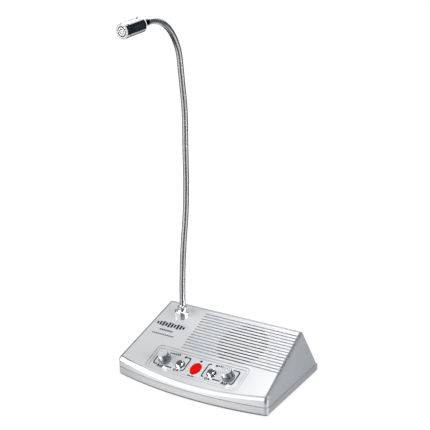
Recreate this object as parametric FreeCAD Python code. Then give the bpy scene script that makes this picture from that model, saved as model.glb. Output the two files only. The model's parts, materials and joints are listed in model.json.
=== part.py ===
import FreeCAD, Part
import math
import os

# Desktop counter intercom console with a loudspeaker and a gooseneck microphone.
# Millimetres, +Z up, the user in front at -Y. The console is laid out from the middle of its
# panel's front edge, on the desk, and the whole model is then moved to the middle of its own box.

V = FreeCAD.Vector

# --- console shell ---
foot_height = 1.2            # below the tray
tray_height = 10.6           # tray's underside to the seam
panel_front_height = 18.1    # desk to the panel's front edge, at the middle
panel_angle = 26.1           # panel's slope
panel_length = 105.9         # front edge to ridge, up the slope
rear_angle = 51.6            # rear face's slope
front_half_width = 97.3
rear_half_width = 83.2
corner_setback = 8.3         # front corners behind the panel's front edge
bow_seam = 12.1              # how far the front's middle stands ahead of its corners at the seam
bow_lean = 0.22              # bow lost per mm of height above the seam
ridge_radius = 4.0
corner_radius = 4.4
edge_chamfer = 2.4
wall = 2.2
seam_gap = 0.4
tray_edge_radius = 4.0
smallest_radius = 0.5        # left of a fillet that is offset inwards
floor_thickness = 2.0
lip_height = 2.4             # tray's tongue inside the shell
lip_thickness = 1.2
lip_clearance = 0.15

shell_tuck = 6.0             # how far the shell's hollow is cut on below the seam

# --- fits ---
running_gap = 0.08           # round the sliding buttons and turning shafts
seat_gap = 0.05              # round what is pushed into a hole
thread_gap = 0.01            # round what is screwed or glued into a hole
screw_gap = 0.02             # a screw's shank under its hole
hole_gap = 0.2               # round a screw that only passes through
join = 0.5                   # how far fused forms run into each other
clear = 10.0                 # how far a cutting form runs out past what it cuts

# --- grooves ---
groove_pitch = 4.07
groove_width = 1.4
groove_depth = 1.2
groove_above_recess = 4.35   # recess to the lowest groove
groove_below_ridge = 8.5     # highest groove to the ridge, at least
groove_from_neck = 26.4      # neck's axis to the grooves' left ends

# --- control panel ---
recess_half_width = 59.5
recess_from_front = 7.4
recess_length = 32.5
recess_corner = 5.0
recess_depth = 0.5           # of each of its two steps
recess_border = 3.2          # outer step to inner step
knobs_from_recess = 15.5      # recess's lower edge to the knobs
buttons_from_recess = 14.1
power_from_recess = 14.1
leds_from_recess = 25.8
knob_from_side = 18.3        # recess's side to a knob's axis
button_from_knob = 20.9
led_radius = 1.5
led_proud = 0.5
led_crown = 0.6              # domed part of the lens
led_length = 4.0
led_flange = 0.4
led_flange_height = 1.0
led_leg_side = 0.5
led_leg_x = 0.9

# --- buttons ---
button_travel = 1.5
button_radius = 4.3
button_height = 3.6          # above the recess floor
button_ring_wall = 0.75
button_flange = 0.6          # flange past the ring's wall
flange_height = 0.9
flange_edge = 0.4
button_edge = 0.8
power_half_width = 6.2
power_half_length = 8.1
power_height = 2.2
power_edge = 1.4
power_bezel_wall = 0.8
power_bezel_flange = 0.4
power_bezel_height = 0.5
cap_depth = 4.4              # cap below the recess floor
stem_radius = 1.7
switch_side = 8.5
switch_height = 6.0
switch_step = 1.0            # upper part's setback and height
stem_in_switch = 2.0
stem_clearance = 0.3         # under a stem that is pressed home

# --- knobs ---
knob_radius = 6.0
knob_skirt_radius = 7.0
knob_skirt_height = 3.0
knob_height = 11.0
knob_lift = 0.4              # above the recess floor
knob_edge = 0.6
knob_rings = ((4.6, 3.9), (2.4, 1.7))    # grooves turned in the top, outer and inner radii
knob_ring_depth = 0.4
knob_mark_width = 0.8
knob_mark_length = 1.3
knob_mark_depth = 2.2
shaft_radius = 3.0
shaft_in_knob = 8.0
pot_radius = 8.2
pot_height = 6.5
bushing_radius = 3.6
shaft_in_pot = 3.0

# --- boards ---
board_thickness = 1.6
control_board_depth = 13.0   # panel's outer face to the board's upper face
control_board_side_inset = 3.5           # from the recess's sides
control_board_low_inset = 2.5            # from its lower edge
control_board_high_inset = 3.4           # from its upper edge
post_radius = 3.0
post_inset_x = 3.5           # posts from the control board's sides
post_inset_s = 3.6           # and from its lower and upper edges
screw_radius = 1.2
screw_head_radius = 2.5
screw_head_height = 1.6
screw_length = 7.0
main_board_screw_length = 5.6
speaker_screw_length = 4.0
main_board_lift = 5.0
main_board_x = -28.0
main_board_y = 72.0
main_board_width = 96.0
main_board_length = 50.0
main_board_inset = 4.0
capacitor_radius = 5.0
capacitor_height = 12.0
capacitor_pitch = 13.0
capacitor_count = 3
capacitor_side_inset = 11.0  # from the main board's left edge
capacitor_front_inset = 17.0
sink_width = 34.0
sink_length = 14.0
sink_height = 12.0
sink_base = 3.0
sink_side_inset = 6.0        # from the main board's right edge
sink_rear_inset = 7.0
fin_count = 6
fin_thickness = 1.2

# --- case screws and feet ---
case_screw_front = (24.1, 14.1)          # from the side and from the front corners
case_screw_rear = (15.6, 15.0)           # from the side and from the rear edge
case_screw_radius = 1.5
case_screw_sink = 0.6        # head under the tray's face
cross_length = 3.2
cross_width = 0.6
cross_depth = 1.0
case_screw_head_radius = 2.8
case_screw_head_height = 2.0
case_screw_length = 13.0
boss_radius = 4.2
foot_front = (12.4, 11.1)    # from the side and from the front corners
foot_rear = (14.1, 29.0)     # from the side and from the rear edge
foot_radius = 6.0
foot_seat_depth = 0.6
foot_chamfer = 0.5
foot_pad_wall = 1.2          # thickening of the tray's floor over a foot
foot_pad_height = 0.8

# --- loudspeaker ---
speaker_above_recess = 0.2   # recess to the speaker's edge
speaker_below_ridge = 8.8    # speaker's edge to the ridge
speaker_from_side = 59.55    # speaker's axis to the panel's right edge
screen_thickness = 0.4
gasket_thickness = 1.5
gasket_width = 4.0
speaker_flange = 1.2
basket_depth = 13.0
basket_rear_radius = 15.0
basket_wall = 1.0
basket_windows = 4
basket_window_width = 12.0
basket_window_angle = 54.0
cone_edge = 1.0              # flat rim outside the cone's mouth
cone_neck_radius = 7.0
cone_depth = 9.0
cone_wall = 0.6
magnet_radius = 14.0
magnet_thickness = 8.0
magnet_plate_thickness = 1.5
magnet_plate_inset = 1.0
clip_reach = 3.0             # over the speaker's flange
clip_thickness = 1.0
clip_width = 7.0
clip_screw_out = 3.4         # screw's axis outside the flange
clip_count = 4

# --- rear sockets ---
socket_row_t = 48.0          # down the rear face from the ridge
socket_from_side = 28.0      # first one, from the left rear corner
socket_pitch = 24.0
socket_thread_radius = 3.0
socket_body_radius = 4.5
socket_body_length = 12.0
socket_proud = 2.6
socket_nut_height = 1.6
nut_wall = 2.2               # thread to a nut's corners
plug_bore_radius = 1.8
plug_bore_length = 13.0
inlet_thread_radius = 4.2
inlet_bore_radius = 2.9
inlet_pin_radius = 1.0
inlet_bore_length = 10.0
inlet_wall = 1.5             # inlet's body outside its thread
inlet_pin_setback = 1.0

# --- neck mount ---
neck_from_side = 29.7        # neck's axis to the panel's left edge
neck_from_ridge = 15.7
neck_swing_angle = 4.2       # neck's plane turned towards the left
collar_radius = 8.6
collar_height = 5.5          # above the panel on the neck's axis
collar_edge = 1.4
gland_radius = 5.6
gland_height = 5.6
gland_edge = 1.0
stem_thread_radius = 5.0
stem_below = 13.0            # below the panel on the neck's axis
neck_seat_radius = 11.0
neck_seat_depth = 8.0        # flat seat inside, below the panel on the neck's axis
washer_radius = 9.0
washer_thickness = 1.0
washer_gap = 0.1
neck_nut_radius = 8.0
neck_nut_height = 3.5

# --- gooseneck ---
neck_radius = 3.3
neck_bore = 1.2
root_above_gland = 14.1      # gland's top to the first bend
root_in_stem = 14.0
link_length = 37.6
link_bend_angles = (-3.7, -3.8, 5.9, 3.5, -2.1, 8.3, -0.8, 36.2, 55.6)
ball_gap = 0.08
socket_lip = 1.6             # joint's centre to the next link's edge
ferrule_edge = 0.4

# --- microphone head ---
ferrule_length = 6.6
ferrule_radius = 3.5
rear_cap_length = 4.2
rear_cap_small_radius = 5.2
rear_cap_edge = 0.6
rear_cap_land = 0.8          # straight part next to the body
rear_cap_spigot = 2.0        # inside the body
mic_radius = 7.9
mic_body_length = 23.7
mic_wall = 1.0
front_cap_length = 5.0
front_cap_radius = 8.0
front_cap_face = 1.0
front_cap_edge = 0.6
front_cap_rear_edge = 0.3
cap_groove_width = 1.2       # round the body, behind the front cap
cap_groove_depth = 0.6
vent_rows = 5
vent_pitch = 3.0
vent_width = 1.3
vent_first = 4.0             # from the body's rear end
vent_angle = 56.0
vent_columns = 4
face_slots = 6
face_slot_radius = 5.0
face_slot_width = 1.2
face_slot_angle = 40.0
inner_slots = 4
inner_slot_radius = 2.5
inner_slot_width = 0.9
inner_slot_angle = 52.0
face_hole_radius = 0.6
liner_thickness = 1.2
capsule_radius = 4.85
capsule_length = 5.0
holder_length = 9.0
capsule_setback = 0.5        # behind the foam

# --- worked out from the sizes above ---
slope = math.radians(panel_angle)
seam_z = foot_height + tray_height
ridge_y = panel_length * math.cos(slope)
ridge_z = panel_front_height + panel_length * math.sin(slope)
rear_y = ridge_y + (ridge_z - seam_z) / math.tan(math.radians(rear_angle))
taper = (front_half_width - rear_half_width) / (rear_y - corner_setback)
recess_low_s = recess_from_front
recess_high_s = recess_from_front + recess_length
recess_floor = -2 * recess_depth
knob_x = recess_half_width - knob_from_side
button_x = knob_x - button_from_knob
knob_s = recess_low_s + knobs_from_recess
button_s = recess_low_s + buttons_from_recess
power_s = recess_low_s + power_from_recess
led_s = recess_low_s + leds_from_recess
board_top = -control_board_depth
control_board_half_width = recess_half_width - control_board_side_inset
control_board_low_s = recess_low_s + control_board_low_inset
control_board_high_s = recess_high_s - control_board_high_inset
neck_y = ridge_y - neck_from_ridge
neck_x = neck_from_side - front_half_width + taper * (neck_y - corner_setback)
speaker_radius = (panel_length - speaker_below_ridge - recess_high_s - speaker_above_recess) / 2
speaker_s = recess_high_s + speaker_above_recess + speaker_radius
speaker_y = speaker_s * math.cos(slope)
speaker_x = front_half_width - taper * (speaker_y - corner_setback) - speaker_from_side
neck_panel_z = panel_front_height + neck_y * math.tan(slope)
collar_top = neck_panel_z + collar_height
gland_top = collar_top + gland_height
first_joint_z = gland_top + root_above_gland


# --- small helpers ---
def rod(radius, low, high, x=0.0, y=0.0):
    return Part.makeCylinder(radius, high - low, V(x, y, low))


def sleeve(outer, inner, low, high, x=0.0, y=0.0):
    return rod(outer, low, high, x, y).cut(rod(inner, low - 1, high + 1, x, y))


def block(x0, x1, y0, y1, z0, z1):
    return Part.makeBox(x1 - x0, y1 - y0, z1 - z0, V(x0, y0, z0))


def rounded_block(x0, x1, y0, y1, z0, z1, radius):
    box = block(x0, x1, y0, y1, z0, z1)
    upright = [edge for edge in box.Edges if abs(edge.BoundBox.ZLength - (z1 - z0)) < 1e-6]
    return box.makeFillet(radius, upright)


def oval(half_x, half_y, low, high, x=0.0, y=0.0):
    long_way = V(x, y + half_y, low)
    short_way = V(x - half_x, y, low)
    curve = Part.Ellipse(long_way, short_way, V(x, y, low))
    return Part.Face(Part.Wire(curve.toShape())).extrude(V(0, 0, high - low))


def turned(points, x=0.0, y=0.0):
    """A solid of revolution about the upright line through (x, y), from (radius, height) points."""
    corners = [V(x + radius, y, height) for radius, height in points]
    profile = Part.Face(Part.makePolygon(corners + corners[:1]))
    return profile.revolve(V(x, y, 0), V(0, 0, 1), 360)


def arc_slot(radius, width, span, middle, low, high):
    """A slot that follows a circle about the Z axis, from low to high."""
    inner, outer = radius - width / 2, radius + width / 2
    corners = [V(inner, 0, low), V(outer, 0, low), V(outer, 0, high), V(inner, 0, high)]
    profile = Part.Face(Part.makePolygon(corners + corners[:1]))
    slot = profile.revolve(V(0, 0, 0), V(0, 0, 1), span)
    slot.rotate(V(0, 0, 0), V(0, 0, 1), middle - span / 2)
    return slot


def joined(first, *others):
    return first.fuse(list(others)).removeSplitter()


def moved(shape, matrix):
    return shape.transformed(matrix, True)


def on_panel(shape):
    """From panel axes (X across, Y up the slope, Z out of the face) to the console's."""
    place = FreeCAD.Placement(V(0, 0, panel_front_height), FreeCAD.Rotation(V(1, 0, 0), panel_angle))
    return moved(shape, place.toMatrix())


def on_rear(shape):
    """From rear-face axes (X across, Y down the slope from the ridge, Z out of the face)."""
    down = V(0, math.cos(math.radians(rear_angle)), -math.sin(math.radians(rear_angle)))
    out = V(0, math.sin(math.radians(rear_angle)), math.cos(math.radians(rear_angle)))
    across = down.cross(out)
    frame = FreeCAD.Matrix(across.x, down.x, out.x, 0,
                           across.y, down.y, out.y, ridge_y,
                           across.z, down.z, out.z, ridge_z,
                           0, 0, 0, 1)
    return moved(shape, frame)


# --- console shell and tray ---
def half_width(y, inset=0.0):
    return front_half_width - taper * (y - corner_setback) - inset * math.hypot(1, taper)


def corner_arc(z, bow, inset):
    """Rounded front right corner, from the bowed front to the straight side, as three points."""
    curve = (front_half_width ** 2 + bow ** 2) / (2 * bow)
    facing = math.copysign(1, curve)
    middle = corner_setback - bow + inset + curve
    radius = max(corner_radius - inset, smallest_radius)
    side = front_half_width + taper * corner_setback - (inset + radius) * math.hypot(1, taper)
    across = side * taper + middle
    rest = side ** 2 + middle ** 2 - (curve - radius) ** 2
    y = (across - facing * math.sqrt(across ** 2 - (1 + taper ** 2) * rest)) / (1 + taper ** 2)
    centre = V(side - taper * y, y, z)
    to_side = V(1, taper, 0).normalize()
    to_front = (centre - V(0, middle, z)).normalize() * facing
    halfway = (to_side + to_front).normalize()
    return [centre + way * radius for way in (to_front, halfway, to_side)]


def plan_outline(z, bow, inset):
    """Bowed front, rounded front corners, straight tapered sides, straight rear, moved in by inset."""
    front, corner, side = corner_arc(z, bow, inset)
    left_front, left_corner, left_side = [V(-p.x, p.y, z) for p in (front, corner, side)]
    back_y = rear_y - inset
    back_x = half_width(back_y, inset)
    right_back, left_back = V(back_x, back_y, z), V(-back_x, back_y, z)
    bowed = Part.Arc(left_front, V(0, corner_setback - bow + inset, z), front)
    edges = [bowed.toShape(), Part.Arc(front, corner, side).toShape(), Part.makeLine(side, right_back),
             Part.makeLine(right_back, left_back), Part.makeLine(left_back, left_side),
             Part.Arc(left_side, left_corner, left_front).toShape()]
    return Part.Wire(edges)


def upright(outline, top):
    """The solid that stands on a level outline and ends at height top."""
    return Part.Face(outline).extrude(V(0, 0, top - outline.BoundBox.ZMin))


def profile_prism(inset, bottom):
    """Side profile of panel and rear face, moved in by inset, across the whole width."""
    lean = math.radians(rear_angle)
    panel_drop = inset / math.cos(slope)
    rear_drop = inset / math.cos(lean)

    def panel_z(y):
        return panel_front_height - panel_drop + y * math.tan(slope)

    def rear_z(y):
        return ridge_z - rear_drop - (y - ridge_y) * math.tan(lean)

    tip_y = ridge_y + (panel_drop - rear_drop) / (math.tan(slope) + math.tan(lean))
    start_y = (bottom - panel_front_height + panel_drop) / math.tan(slope)
    end_y = ridge_y + (ridge_z - rear_drop - bottom) / math.tan(lean)
    reach = front_half_width + clear
    corners = [V(-reach, start_y, bottom), V(-reach, tip_y, panel_z(tip_y)), V(-reach, end_y, bottom)]
    prism = Part.Face(Part.makePolygon(corners + corners[:1])).extrude(V(2 * reach, 0, 0))
    ridge = max(prism.Edges, key=lambda edge: edge.BoundBox.ZMin)
    return prism.makeFillet(max(ridge_radius - inset, smallest_radius), [ridge])


def wedge(inset=0.0, bottom=seam_z):
    """The console's upper body, with every face moved in by inset."""
    top = ridge_z + clear
    lower = plan_outline(bottom, bow_seam + bow_lean * (seam_z - bottom), inset)
    upper = plan_outline(top, bow_seam - bow_lean * (top - seam_z), inset)
    column = Part.makeLoft([lower, upper], True, True)
    return column.common(profile_prism(inset, bottom)).removeSplitter()


def rim_edges(body):
    """Edges round the sloping faces, where they meet the sides and the front."""
    found = []
    for edge in body.Edges:
        box = edge.BoundBox
        across = box.XLength > rear_half_width
        low = box.ZMax < seam_z + 0.01       # along the seam
        upright = box.ZLength > edge_chamfer and max(box.XLength, box.YLength) < corner_radius / 2
        ridge_line = across and box.ZMin > ridge_z - 2 * ridge_radius
        if not (low or upright or ridge_line):
            found.append(edge)
    return found


def shell_bosses():
    """Posts inside the shell: case screws, control board, speaker clips, neck seat."""
    inside = wedge(wall / 2)
    posts = []
    for x, y in case_screw_places():
        posts.append(rod(boss_radius, seam_z, ridge_z, x, y))
    for x, s in board_posts():
        posts.append(on_panel(rod(post_radius, board_top, recess_floor - join, x, s)))
    for x, s in clip_places():
        posts.append(on_panel(rod(post_radius, clip_seat(), -wall / 2, x, s)))
    posts.append(rod(neck_seat_radius, neck_panel_z - neck_seat_depth, ridge_z, neck_x, neck_y))
    return [post.common(inside) for post in posts]


def top_housing():
    outer = wedge()
    outer = outer.makeChamfer(edge_chamfer, rim_edges(outer))
    body = outer.cut(wedge(wall, seam_z - shell_tuck))
    body = joined(body, *shell_bosses())
    cuts = grooves() + recess() + panel_holes() + boss_holes() + rear_holes()
    return body.cut(cuts).removeSplitter()


def groove_rows():
    first = recess_high_s + groove_above_recess
    room = panel_length - groove_below_ridge - first
    return [first + row * groove_pitch for row in range(int(room / groove_pitch + 0.001) + 1)]


def grooves():
    """Grooves that run out through the right edge, open right through over the loudspeaker."""
    cuts = []
    left, right = neck_x + groove_from_neck, front_half_width + clear
    half = groove_width / 2
    rows = groove_rows()
    for s in rows:
        trough = block(left + half, right, s - half, s + half, -groove_depth, clear)
        cuts.append(on_panel(trough.fuse(rod(half, -groove_depth, clear, left + half, s))))
    for s in rows[1:-1]:
        reach_squared = speaker_radius ** 2 - (s - speaker_s) ** 2
        if reach_squared > 0:
            reach = math.sqrt(reach_squared)
            slot = block(speaker_x - reach, speaker_x + reach, s - half, s + half, -2 * wall, 0)
            cuts.append(on_panel(slot))
    return cuts


def recess():
    outer = rounded_block(-recess_half_width, recess_half_width, recess_low_s, recess_high_s,
                          -recess_depth, clear, recess_corner)
    border = recess_border
    inner = rounded_block(border - recess_half_width, recess_half_width - border,
                          recess_low_s + border, recess_high_s - border,
                          recess_floor, clear, recess_corner - border / 2)
    return [on_panel(outer), on_panel(inner)]


def panel_holes():
    low, high = -3 * wall, clear
    holes = [oval(power_half_width + running_gap + power_bezel_wall + seat_gap,
                  power_half_length + running_gap + power_bezel_wall + seat_gap, low, high, 0, power_s)]
    for side in (-1, 1):
        holes.append(rod(button_sleeve() + seat_gap, low, high, side * button_x, button_s))
        holes.append(rod(bushing_radius + seat_gap, low, high, side * knob_x, knob_s))
    for x in led_places():
        holes.append(rod(led_radius + seat_gap, low, high, x, led_s))
    upright_hole = rod(stem_thread_radius + seat_gap, neck_panel_z - 2 * stem_below, ridge_z,
                       neck_x, neck_y)
    return [on_panel(hole) for hole in holes] + [upright_hole]


def boss_holes():
    holes = []
    for x, y in case_screw_places():
        holes.append(rod(case_screw_radius, seam_z - 1, screw_tip_z() + 1, x, y))
    for x, s in board_posts():
        tip = board_top - board_thickness + screw_length
        holes.append(on_panel(rod(screw_radius, board_top - 1, tip + join, x, s)))
    for x, s in clip_places():
        holes.append(on_panel(rod(screw_radius, clip_seat() - 1, clip_screw_tip() + hole_gap, x, s)))
    return holes


def rear_holes():
    return [on_rear(rod(radius + seat_gap, -3 * wall, clear, x, socket_row_t))
            for x, radius in socket_places()]


def base_tray():
    top = seam_z - seam_gap
    body = upright(plan_outline(foot_height, bow_seam, 0), top)
    under = [edge for edge in body.Edges if edge.BoundBox.ZMax < foot_height + 0.01]
    body = body.makeFillet(tray_edge_radius, under)
    floor = foot_height + floor_thickness
    body = body.cut(upright(plan_outline(floor, bow_seam, wall), seam_z + clear))
    lip_outer = wall + lip_clearance
    lip = upright(plan_outline(floor - join, bow_seam, wall - join), top - 1)
    tongue = upright(plan_outline(floor - join, bow_seam, lip_outer), top + lip_height)
    hollow = upright(plan_outline(floor - 2 * join, bow_seam, lip_outer + lip_thickness), seam_z + clear)
    clear_of_shell = wedge(lip_outer, floor - floor_thickness)
    tongue = tongue.common(clear_of_shell)
    bosses = [rod(boss_radius, floor - join, seam_z, x, y) for x, y in case_screw_places()]
    pads = [rod(foot_radius + foot_pad_wall, floor - join, floor + foot_pad_height, x, y)
            for x, y in foot_places()]
    posts = [rod(post_radius, floor - join, floor + main_board_lift, x, y) for x, y in main_board_posts()]
    body = joined(body, lip.cut(hollow), tongue.cut(hollow), *(bosses + pads + posts))
    cuts = []
    for x, y in case_screw_places():
        cuts.append(rod(case_screw_radius + seat_gap, 0, seam_z + 1, x, y))
        cuts.append(rod(case_screw_head_radius + seat_gap, 0, screw_head_z(), x, y))
    for x, y in foot_places():
        cuts.append(rod(foot_radius + seat_gap, 0, foot_height + foot_seat_depth, x, y))
    for x, y in main_board_posts():
        cuts.append(rod(screw_radius, main_board_screw_tip() - hole_gap, seam_z + clear, x, y))
    return body.cut(cuts).removeSplitter()


def four_places(front, rear):
    """Places near the four corners, left and right alike."""
    places = []
    for inset, y in ((front[0], corner_setback + front[1]), (rear[0], rear_y - rear[1])):
        x = half_width(y) - inset
        places += [(-x, y), (x, y)]
    return places


def case_screw_places():
    return four_places(case_screw_front, case_screw_rear)


def foot_places():
    return four_places(foot_front, foot_rear)


def screw_head_z():
    return foot_height + case_screw_head_height + case_screw_sink


def screw_tip_z():
    return screw_head_z() + case_screw_length


def case_screws():
    low = screw_head_z() - case_screw_head_height
    long, short = cross_length / 2, cross_width / 2
    screws = []
    for x, y in case_screw_places():
        head = rod(case_screw_head_radius, low, screw_head_z(), x, y)
        shank = rod(case_screw_radius - screw_gap, screw_head_z() - join, screw_tip_z(), x, y)
        cross = [block(x - i, x + i, y - j, y + j, low - 1, low + cross_depth)
                 for i, j in ((long, short), (short, long))]
        screws.append(joined(head, shank).cut(cross))
    return Part.makeCompound(screws)


def rubber_feet():
    feet = []
    for x, y in foot_places():
        foot = rod(foot_radius, 0, foot_height + foot_seat_depth, x, y)
        lower = [edge for edge in foot.Edges if edge.BoundBox.ZMax < 0.01]
        feet.append(foot.makeChamfer(foot_chamfer, lower))
    return Part.makeCompound(feet)


# --- boards ---
def board_posts():
    rows = (control_board_low_s + post_inset_s, control_board_high_s - post_inset_s)
    x = control_board_half_width - post_inset_x
    return [(side * x, s) for s in rows for side in (-1, 1)]


def control_board():
    low = board_top - board_thickness
    board = block(-control_board_half_width, control_board_half_width, control_board_low_s,
                  control_board_high_s, low, board_top)
    holes = [rod(screw_radius + hole_gap, low - 1, board_top + 1, x, s) for x, s in board_posts()]
    return on_panel(board.cut(holes))


def pan_screw(x, y, seat, length, up=1):
    """A small screw whose head bears on the face at height seat. Its shank goes up, or down if up is -1."""
    bottom, tip = seat - up * screw_head_height, seat + up * length
    head = rod(screw_head_radius, min(seat, bottom), max(seat, bottom), x, y)
    shank = rod(screw_radius - screw_gap, min(seat - up * join, tip), max(seat - up * join, tip), x, y)
    return joined(head, shank)


def control_board_screws():
    seat = board_top - board_thickness
    return on_panel(Part.makeCompound([pan_screw(x, s, seat, screw_length) for x, s in board_posts()]))


def main_board_posts():
    half_x = main_board_width / 2 - main_board_inset
    half_y = main_board_length / 2 - main_board_inset
    return [(main_board_x + i * half_x, main_board_y + j * half_y) for j in (-1, 1) for i in (-1, 1)]


def main_board_top():
    return foot_height + floor_thickness + main_board_lift + board_thickness


def main_board():
    top = main_board_top()
    half_x, half_y = main_board_width / 2, main_board_length / 2
    board = block(main_board_x - half_x, main_board_x + half_x, main_board_y - half_y,
                  main_board_y + half_y, top - board_thickness, top)
    holes = [rod(screw_radius + hole_gap, 0, top + 1, x, y) for x, y in main_board_posts()]
    return board.cut(holes)


def main_board_screw_tip():
    return main_board_top() - main_board_screw_length


def main_board_screws():
    return Part.makeCompound([pan_screw(x, y, main_board_top(), main_board_screw_length, -1)
                              for x, y in main_board_posts()])


def capacitors():
    base = main_board_top()
    first = main_board_x - main_board_width / 2 + capacitor_side_inset
    y = main_board_y - main_board_length / 2 + capacitor_front_inset
    cans = [rod(capacitor_radius, base, base + capacitor_height, first + place * capacitor_pitch, y)
            for place in range(capacitor_count)]
    return Part.makeCompound(cans)


def heat_sink():
    base = main_board_top()
    left = main_board_x + main_board_width / 2 - sink_side_inset - sink_width
    near = main_board_y + main_board_length / 2 - sink_rear_inset - sink_length
    body = block(left, left + sink_width, near, near + sink_base, base, base + sink_height)
    step = (sink_width - fin_thickness) / (fin_count - 1)
    fins = []
    for fin in range(fin_count):
        x = left + fin * step
        fins.append(block(x, x + fin_thickness, near, near + sink_length, base, base + sink_height))
    return joined(body, *fins)


# --- loudspeaker ---
def flange_face():
    """Front of the speaker's flange, along the panel's normal."""
    return -wall - screen_thickness - gasket_thickness


def clip_angles():
    return [360 * (turn + 0.5) / clip_count for turn in range(clip_count)]


def clip_places():
    reach = speaker_radius + clip_screw_out
    angles = [math.radians(angle) for angle in clip_angles()]
    return [(speaker_x + reach * math.cos(a), speaker_s + reach * math.sin(a)) for a in angles]


def clip_seat():
    return flange_face() - speaker_flange


def clip_screw_tip():
    return clip_seat() - clip_thickness + speaker_screw_length


def speaker_screen():
    low = -wall - screen_thickness
    return on_panel(rod(speaker_radius, low, -wall, speaker_x, speaker_s))


def speaker_gasket():
    high = -wall - screen_thickness
    return on_panel(sleeve(speaker_radius, speaker_radius - gasket_width, flange_face(), high,
                           speaker_x, speaker_s))


def basket_mouth():
    """Outer radius of the basket under the flange."""
    return speaker_radius - gasket_width


def speaker_frame():
    front = flange_face()
    flange = front - speaker_flange
    rear = front - basket_depth
    mouth, small = basket_mouth(), basket_rear_radius
    profile = [(speaker_radius, front), (speaker_radius, flange), (mouth, flange), (small, rear),
               (cone_neck_radius, rear), (cone_neck_radius, rear + basket_wall),
               (small - basket_wall, rear + basket_wall), (mouth - basket_wall, flange),
               (mouth - basket_wall, front)]
    basket = turned(profile, speaker_x, speaker_s)
    windows = []
    for turn in range(basket_windows):
        slot = arc_slot((mouth + small) / 2 + basket_wall, basket_window_width, basket_window_angle,
                        360 * turn / basket_windows, rear + 3 * basket_wall, flange - basket_wall)
        slot.translate(V(speaker_x, speaker_s, 0))
        windows.append(slot)
    return on_panel(basket.cut(windows))


def speaker_cone():
    front = flange_face()
    neck = front - cone_depth
    outer = basket_mouth() - basket_wall - hole_gap / 2
    mouth = basket_mouth() - cone_edge
    roll = mouth - 2
    dome = cone_neck_radius / 2
    profile = [(outer, front), (outer, front - cone_wall), (mouth - join, front - cone_wall),
               (roll, front - cone_wall - 1), (cone_neck_radius, neck - cone_wall),
               (0, neck - cone_wall), (0, neck + dome), (cone_neck_radius * 0.6, neck + dome * 0.7),
               (cone_neck_radius, neck), (roll, front - 1), (mouth - join, front)]
    return on_panel(turned(profile, speaker_x, speaker_s))


def speaker_magnet():
    high = flange_face() - basket_depth
    low = high - magnet_thickness
    magnet = rod(magnet_radius, low, high, speaker_x, speaker_s)
    plate = rod(magnet_radius - magnet_plate_inset, low - magnet_plate_thickness, low + join,
                speaker_x, speaker_s)
    pole = rod(cone_neck_radius - hole_gap / 2, high - join, high + basket_wall, speaker_x, speaker_s)
    return on_panel(joined(magnet, plate, pole))


def speaker_clips():
    seat = clip_seat()
    low = seat - clip_thickness
    axis = speaker_radius + clip_screw_out
    clips = []
    for angle in clip_angles():
        clip = block(speaker_radius - clip_reach, axis + clip_width / 2, -clip_width / 2,
                     clip_width / 2, low, seat)
        clip = clip.cut(rod(screw_radius + hole_gap, low - 1, seat + 1, axis, 0))
        clip.rotate(V(0, 0, 0), V(0, 0, 1), angle)
        clip.translate(V(speaker_x, speaker_s, 0))
        clips.append(clip)
    return on_panel(Part.makeCompound(clips))


def speaker_screws():
    seat = clip_seat() - clip_thickness
    return on_panel(Part.makeCompound([pan_screw(x, s, seat, speaker_screw_length)
                                       for x, s in clip_places()]))


# --- knobs, buttons and lights ---
def led_places():
    return (-button_x, 0.0, button_x)


def status_leds():
    tip = recess_floor + led_proud
    shoulder = tip - led_crown
    seat = -wall - hole_gap
    side = led_leg_side / 2
    lights = []
    for x in led_places():
        lens = turned([(0, tip - led_length), (led_radius, tip - led_length), (led_radius, shoulder),
                       (led_radius * 0.6, tip - led_crown / 5), (0, tip)], x, led_s)
        foot = rod(led_radius + led_flange, seat - led_flange_height, seat, x, led_s)
        legs = [block(x + i * led_leg_x - side, x + i * led_leg_x + side, led_s - side, led_s + side,
                      board_top, tip - led_length + join) for i in (-1, 1)]
        lights.append(joined(lens, foot, *legs))
    return on_panel(Part.makeCompound(lights))


def pot(side):
    x = side * knob_x
    high = board_top + pot_height
    body = rod(pot_radius, board_top, high, x, knob_s)
    bushing = rod(bushing_radius, high - join, recess_floor + knob_lift / 2, x, knob_s)
    bore = rod(shaft_radius + running_gap, shaft_low() - hole_gap, clear, x, knob_s)
    return on_panel(joined(body, bushing).cut(bore))


def shaft_low():
    return board_top + pot_height - shaft_in_pot


def knob_bottom():
    return recess_floor + knob_lift


def shaft(side):
    top = knob_bottom() + shaft_in_knob
    return on_panel(rod(shaft_radius, shaft_low(), top, side * knob_x, knob_s))


def knob(side):
    """Skirted knob with two turned grooves in its top, a pointer notch and a blind shaft bore."""
    x = side * knob_x
    low = knob_bottom()
    top = low + knob_height
    skirt = low + knob_skirt_height
    bevel = (knob_skirt_radius - knob_radius) / 2
    profile = [(0, low), (knob_skirt_radius, low), (knob_skirt_radius, skirt - bevel),
               (knob_skirt_radius - bevel, skirt), (knob_radius, skirt), (knob_radius, top - knob_edge),
               (knob_radius - knob_edge, top)]
    for outer, inner in knob_rings:
        floor = top - knob_ring_depth
        profile += [(outer, top), (outer, floor), (inner, floor), (inner, top)]
    body = turned(profile + [(0, top)], x, knob_s)
    half = knob_mark_width / 2
    mark = block(x - half, x + half, knob_s + knob_radius - knob_mark_length,
                 knob_s + knob_skirt_radius, top - knob_mark_depth, top + 1)
    bore = rod(shaft_radius + thread_gap, low - 1, low + shaft_in_knob + seat_gap, x, knob_s)
    return on_panel(body.cut([mark, bore]))


def button_sleeve():
    return button_radius + running_gap + button_ring_wall


def cap_low():
    return recess_floor - cap_depth


def switch_bore(x, s):
    """Room for a button's stem over its whole travel."""
    bottom = switch_top() - stem_in_switch - button_travel - stem_clearance
    return rod(stem_radius + running_gap, bottom, switch_top() + 1, x, s)


def switch_top():
    return board_top + switch_height


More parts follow.
